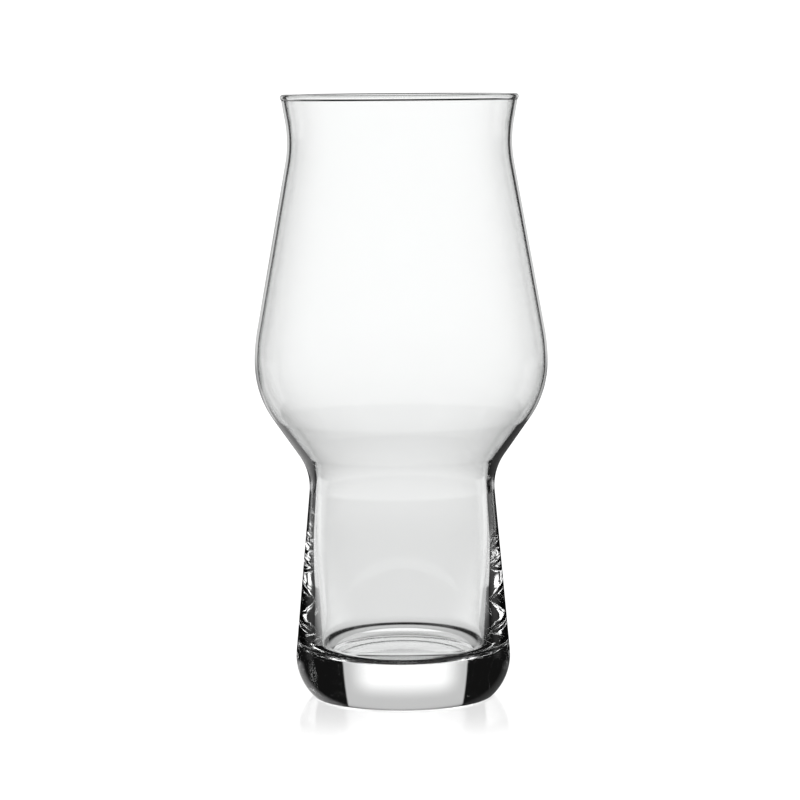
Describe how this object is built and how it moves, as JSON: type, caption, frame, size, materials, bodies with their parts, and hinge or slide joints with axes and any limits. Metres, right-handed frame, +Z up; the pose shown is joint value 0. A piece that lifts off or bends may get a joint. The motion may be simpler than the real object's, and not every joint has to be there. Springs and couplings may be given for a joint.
{
  "type": "tulip beer glass",
  "caption": "Clear tulip beer glass: a thin bowl with a flared rim, narrow neck and round belly, fused at its waist to a thick flared base with a rounded foot.",
  "frame": {"origin": "on the table, at the middle of the foot's resting ring", "axes": "+Z up along the axis of the glass, from the foot to the rim; X and Y are equal, because the glass is round"},
  "size_m": [0.08, 0.08, 0.165],
  "materials": {
    "clear_glass": "fire-polished clear glass"
  },
  "bodies": {
    "root": {"bowl": "clear_glass", "base": "clear_glass"}
  },
  "joints": []
}
